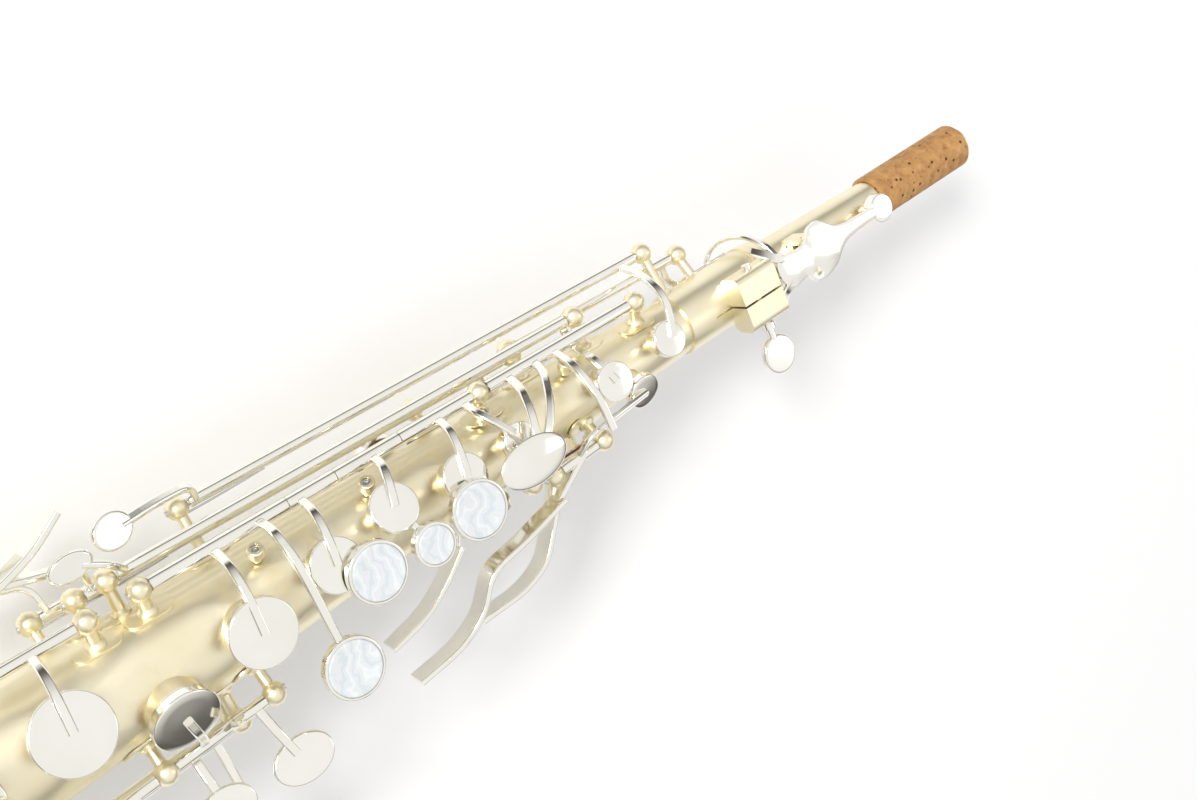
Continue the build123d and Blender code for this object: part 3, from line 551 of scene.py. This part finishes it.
def make_pearls():
    """Finger pearls: a rounded rim and a shallow hollow for the finger."""
    for name in WITH_PEARLS:
        low, high = (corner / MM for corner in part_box(name + "_pearl"))
        middle = (low + high) / 2
        radius = (high.x - low.x) / 2
        place = Matrix.Translation((middle.x, middle.y, low.z))
        thick = high.z - low.z
        profile = [(0, 0), (radius, 0), (radius, thick - 0.75)]
        profile += round_corner(radius - 0.65, thick - 0.65, 0.65, 0, 90)
        hollow = 0.45 if radius > 6 else 0.3
        for share in (0.82, 0.7, 0.55, 0.4, 0.2):
            profile.append((radius * share, thick - hollow * (1 - (share / 0.92) ** 2)))
        profile.append((0, thick - hollow))
        pearl = add_piece("pearl_" + name, lathe(profile, place, 96), PEARL, name + "_key", 60)
        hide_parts(name + "_pearl")


def make_cork_sleeve():
    """The neck's cork sleeve, slightly uneven and pitted, with softly rounded ends."""
    low, high = (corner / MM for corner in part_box("neck_cork"))
    radius = (high.z - low.z) / 2
    inside = radius - 1.2
    outline = [(low.x, inside), (low.x, radius - 0.5), (low.x + 0.5, radius)]
    steps = 110
    for step in range(1, steps):
        outline.append((low.x + 0.5 + (high.x - low.x - 1.0) * step / steps, radius))
    outline += [(high.x - 0.5, radius), (high.x, radius - 0.5), (high.x, inside)]
    along_x = Matrix.Rotation(math.radians(90), 4, "Y")
    shape = lathe([(r, x) for x, r in outline], along_x, 160)
    for vert in shape.verts:
        away = Vector((0, vert.co.y, vert.co.z))
        if away.length < radius - 0.01:
            continue
        grain = noise.noise(vert.co * 0.9) * 0.05
        pit = noise.noise(vert.co * 2.3 + Vector((7, 3, 1)))
        depth = 0.06 - grain + max(0.0, pit - 0.42) * 1.6
        vert.co -= away.normalized() * min(depth, 0.35)
    cork = add_piece("cork_sleeve", shape, CORK, "neck", 50)
    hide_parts("neck_cork")


def blade_height(x):
    return BLADE_LOW_Z - BLADE_FALL * (x - BLADE_LOW_X)


def make_neck_octave_key():
    """The neck octave key: its cut-out blade with a pierced tab, its cup, and the ring on its fork."""
    outline = smooth_line([Vector((x, y, 0)) for x, y in BLADE], True)
    hole = []
    for step in range(20):
        turn = step * math.pi / 10
        hole.append(Vector((TAB_HOLE_X + TAB_HOLE_R * math.cos(turn),
                            TAB_HOLE_Y + TAB_HOLE_R * math.sin(turn), 0)))
    blade = plate([outline], [hole], blade_height, BLADE_THICK, 0.35)
    blade_piece = add_piece("neck_octave_blade", blade, SILVER, "neck_octave", 40)
    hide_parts("neck_octave_key")

    cup_place = Matrix.Translation((NECK_PAD_X, 0, NECK_PAD_Z))
    cup = [(0, 0.9), (3.6, 0.9), (4.8, 0.9), (4.9, 1.0)]
    cup += round_corner(4.35, 4.25, 0.55, 0, 80, 6)
    cup += [(2.5, 4.88), (0, 4.95)]
    add_piece("neck_octave_cup", lathe(cup, cup_place, 64), SILVER, "neck_octave")
    pad = [(0, 0), (3.0, 0), (3.4, 0.35), (3.4, 1.2), (0, 1.2)]
    add_piece("pad_neck_octave", lathe(pad, cup_place, 48), CORK, "neck_octave")
    along_y = Matrix.Rotation(math.radians(-90), 4, "X")
    pivot_place = Matrix.Translation((NECK_PIVOT_X, -4.4, NECK_PIVOT_Z)) @ along_y
    boss = [(0.9, 0), (2.2, 0), (2.4, 0.2), (2.4, 8.6), (2.2, 8.8), (0.9, 8.8)]
    add_piece("neck_octave_boss", lathe(boss, pivot_place, 40), SILVER, "neck_octave")

    lean = Matrix.Rotation(math.radians(NECK_RING_TILT), 4, "Y")
    tilt = Matrix.Translation((NECK_RING_X, 0, 0)) @ lean
    points = []
    normals = []
    for step in range(97):
        turn = 2 * math.pi * step / 96
        outward = Vector((0, math.sin(turn), math.cos(turn)))
        points.append(tilt @ (NECK_RING_R * outward))
        normals.append((tilt.to_3x3() @ outward).normalized())
    ring = strap(points, normals, 2.3, 1.5)
    add_piece("neck_octave_ring", ring, SILVER, "neck_octave", 40)
    for number, side in enumerate((-1, 1), 1):
        route = [Vector((554.5, 4.4 * side, 14.7)), Vector((550.6, 5.4 * side, 14.6)),
                 Vector((547.8, 8.0 * side, 13.2)), Vector((544.9, 10.6 * side, 10.6))]
        line = smooth_line(route, False, 6)
        faces = []
        for step in range(len(line)):
            share = step / (len(line) - 1) * 3
            faces.append(Vector((0.25, 0.3 * side * share, 1)).normalized())
        fork = strap(line, faces, 3.4, 1.5)
        add_piece(f"neck_octave_fork_{number}", fork, SILVER, "neck_octave", 40)


def make_springs():
    """A steel needle spring beside each key, from its lower post to the middle of its tube."""
    for name, (angle, height, low, high) in RODS.items():
        reach = min(26.0, 0.6 * (high - low))
        below = height - 2.35
        points = [polar(low + reach * share, angle, below + 0.5 * share ** 2)
                  for share in (0, 0.25, 0.5, 0.75, 1)]
        shape = wire(points, (0.36, 0.34, 0.31, 0.28, 0.22))
        add_piece("needle_spring_" + name, shape, STEEL, "body")


def make_adjusting_screws():
    """Slotted screws in the stack's adjusting cups."""
    for number, x in enumerate(SCREW_PLACES, 1):
        place = outward_frame(x, SCREW_ANGLE, 0)
        profile = [(0, 4.4), (1.25, 4.4), (1.25, 5.0)]
        profile += round_corner(1.0, 5.05, 0.25, 0, 90, 3)
        profile += [(0.55, 5.3), (0.5, 4.9), (0, 4.85)]
        add_piece(f"adjusting_screw_{number}", lathe(profile, place, 32), STEEL, "body")


def make_floor():
    low, high = cad_box
    middle = (low + high) / 2
    shape = bmesh.new()
    bmesh.ops.create_grid(shape, x_segments=24, y_segments=24, size=2.5)
    mesh = bpy.data.meshes.new("floor")
    shape.to_mesh(mesh)
    shape.free()
    floor = bpy.data.objects.new("floor", mesh)
    floor.location = (middle.x, middle.y, low.z)
    bpy.context.scene.collection.objects.link(floor)
    material, _, principled, _ = shader("pale_floor")
    principled.inputs["Base Color"].default_value = (0.90, 0.90, 0.905, 1)
    principled.inputs["Roughness"].default_value = 0.8
    principled.inputs["Specular IOR Level"].default_value = 0.2
    mesh.materials.append(material)


# Light and camera

def area_light(name, place, target, size, power, colour):
    data = bpy.data.lights.new(name, "AREA")
    data.shape = "RECTANGLE"
    data.size, data.size_y = size
    data.energy = power
    data.color = colour
    light = bpy.data.objects.new(name, data)
    light.location = place
    light.rotation_euler = (Vector(target) - Vector(place)).to_track_quat("-Z", "Y").to_euler()
    bpy.context.scene.collection.objects.link(light)


def make_world():
    """A white room, darker round the horizon so that the polished metal shows its shape."""
    world = bpy.data.worlds.new("white_room")
    bpy.context.scene.world = world
    world.use_nodes = True
    tree = world.node_tree
    background = tree.nodes["Background"]
    background.inputs["Strength"].default_value = 0.95
    coordinates = tree.nodes.new("ShaderNodeTexCoord")
    split = tree.nodes.new("ShaderNodeSeparateXYZ")
    tree.links.new(coordinates.outputs["Generated"], split.inputs["Vector"])
    stops = [(0.0, (0.6, 0.6, 0.6)), (0.06, (0.05, 0.045, 0.04)), (0.18, (0.16, 0.15, 0.14)),
             (0.34, (0.60, 0.59, 0.57)), (0.60, (0.96, 0.96, 0.96)), (1.0, (1.0, 1.0, 1.0))]
    tree.links.new(ramp_node(tree, split.outputs["Z"], stops), background.inputs["Color"])


def make_lights():
    middle = Vector((0.42, 0.0, 0.0))
    area_light("key", middle + Vector((-0.92, 0.90, 1.20)), middle, (0.5, 0.4), 18.0, (1.0, 0.985, 0.96))
    area_light("rim", middle + Vector((0.95, -0.25, 0.7)), middle, (0.4, 0.8), 0.8, (0.96, 0.98, 1.0))


CAMERA_AT = Vector((0.2632, 0.1445, 0.3877))
CAMERA_RIGHT = Vector((0.7423, -0.3712, 0.5578))
CAMERA_UP = Vector((0.4875, 0.8703, -0.0695))
CAMERA_LENS = 45.8


def make_camera():
    data = bpy.data.cameras.new("camera")
    data.lens = CAMERA_LENS
    data.sensor_width = 36.0
    data.clip_start = 0.01
    camera = bpy.data.objects.new("camera", data)
    right = CAMERA_RIGHT.normalized()
    back = right.cross(CAMERA_UP).normalized()
    up = back.cross(right)
    turned = Matrix((right, up, back)).transposed().to_4x4()
    camera.matrix_world = Matrix.Translation(CAMERA_AT) @ turned
    bpy.context.scene.collection.objects.link(camera)
    bpy.context.scene.camera = camera


make_camera()
bpy.context.scene.view_settings.view_transform = "Standard"
make_world()
make_lights()
make_floor()
paint_cad()
make_pads()
make_cup_tops()
make_pearls()
make_cork_sleeve()
make_neck_octave_key()
make_front_touch()
make_springs()
make_adjusting_screws()
